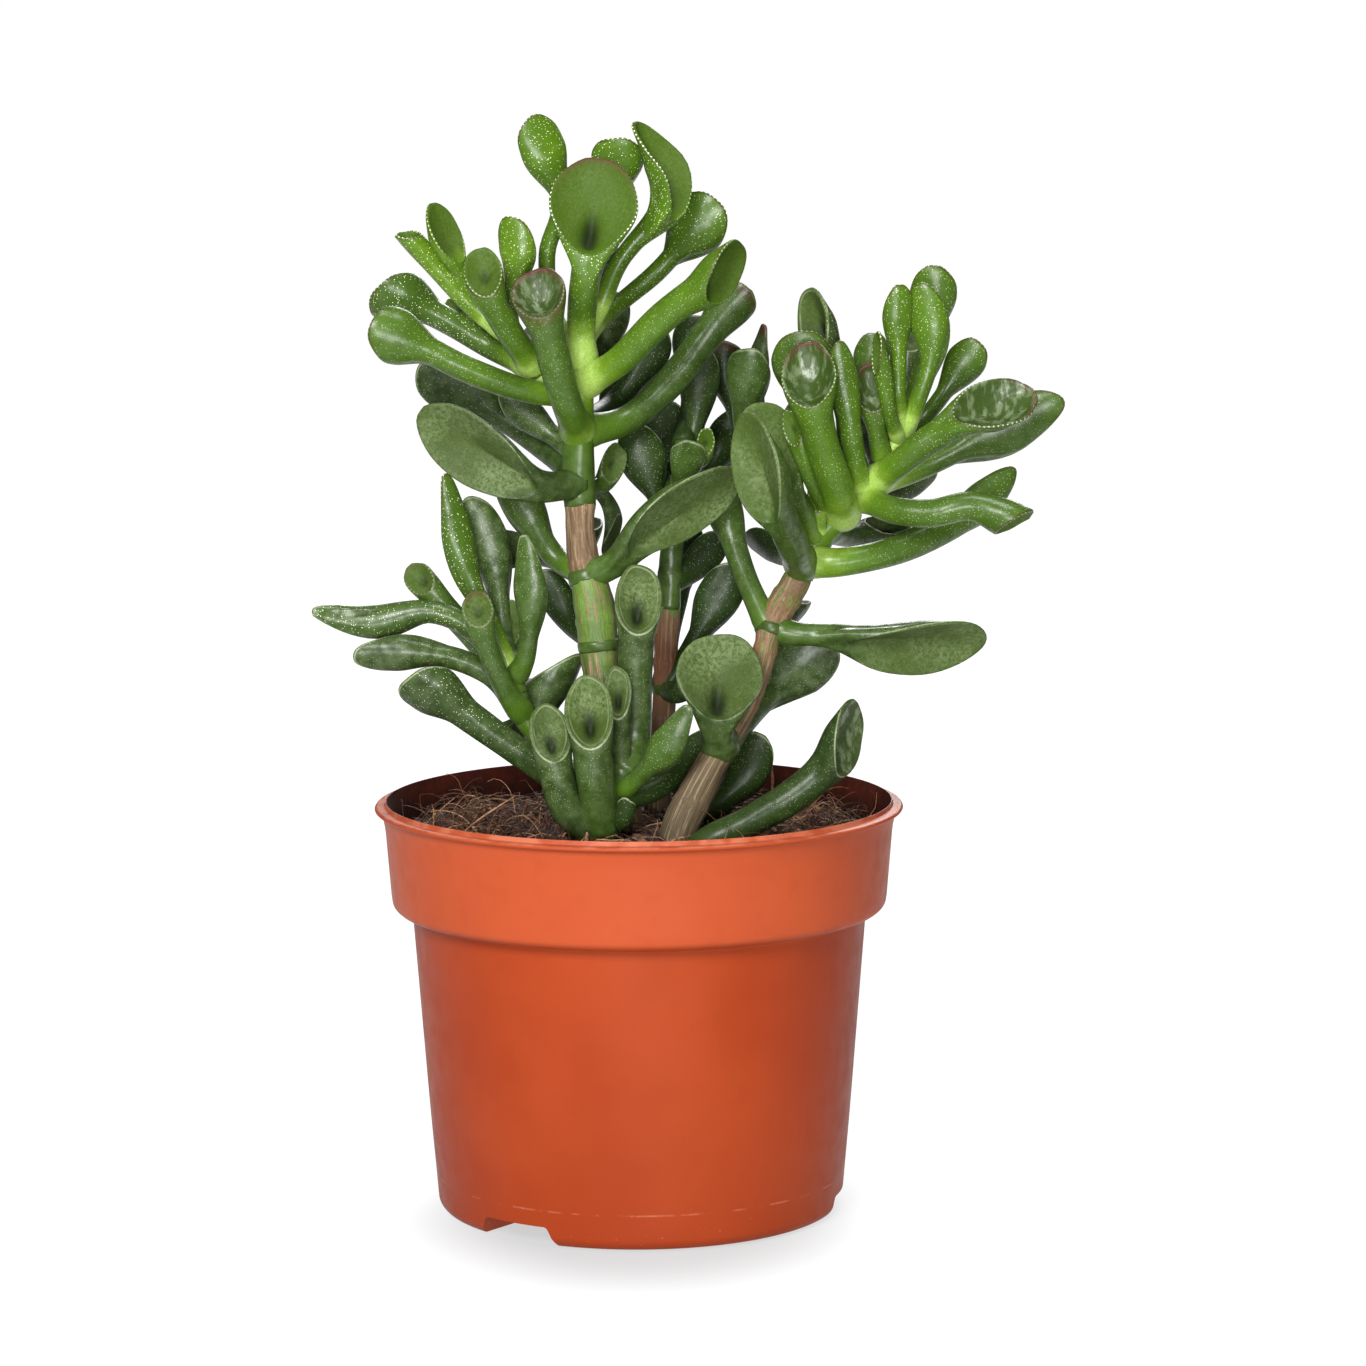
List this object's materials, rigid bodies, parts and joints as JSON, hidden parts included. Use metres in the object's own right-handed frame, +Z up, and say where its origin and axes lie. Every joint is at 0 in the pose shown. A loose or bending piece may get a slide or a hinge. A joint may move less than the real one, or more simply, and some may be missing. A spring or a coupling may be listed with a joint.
{
  "type": "potted trumpet jade plant",
  "caption": "Branching jade succulent with spoon and trumpet shaped leaves, growing in soil in a round collared nursery pot that stands on its foot.",
  "frame": {"origin": "middle of the pot's underside, on the surface it stands on", "axes": "+Z up along the pot's axis, the plant's front faces -Y, +X to the viewer's right"},
  "size_m": [0.1681, 0.12, 0.2474],
  "materials": {
    "pot": "satin",
    "soil": "matte",
    "bark": "matte",
    "leaf": "gloss"
  },
  "bodies": {
    "root": {"pot": "pot", "soil": "soil", "trunk_left": "bark", "trunk_right": "bark", "trunk_back": "bark", "crown_left": "leaf", "crown_right": "leaf", "crown_back": "leaf", "shoot_low_left": "leaf", "shoot_front": "leaf", "shoot_right": "leaf", "shoot_middle": "leaf", "pair_left_high": "leaf", "pair_left_low": "leaf", "pair_right_low": "leaf", "pair_right_high": "leaf", "pair_back": "leaf"}
  },
  "joints": []
}
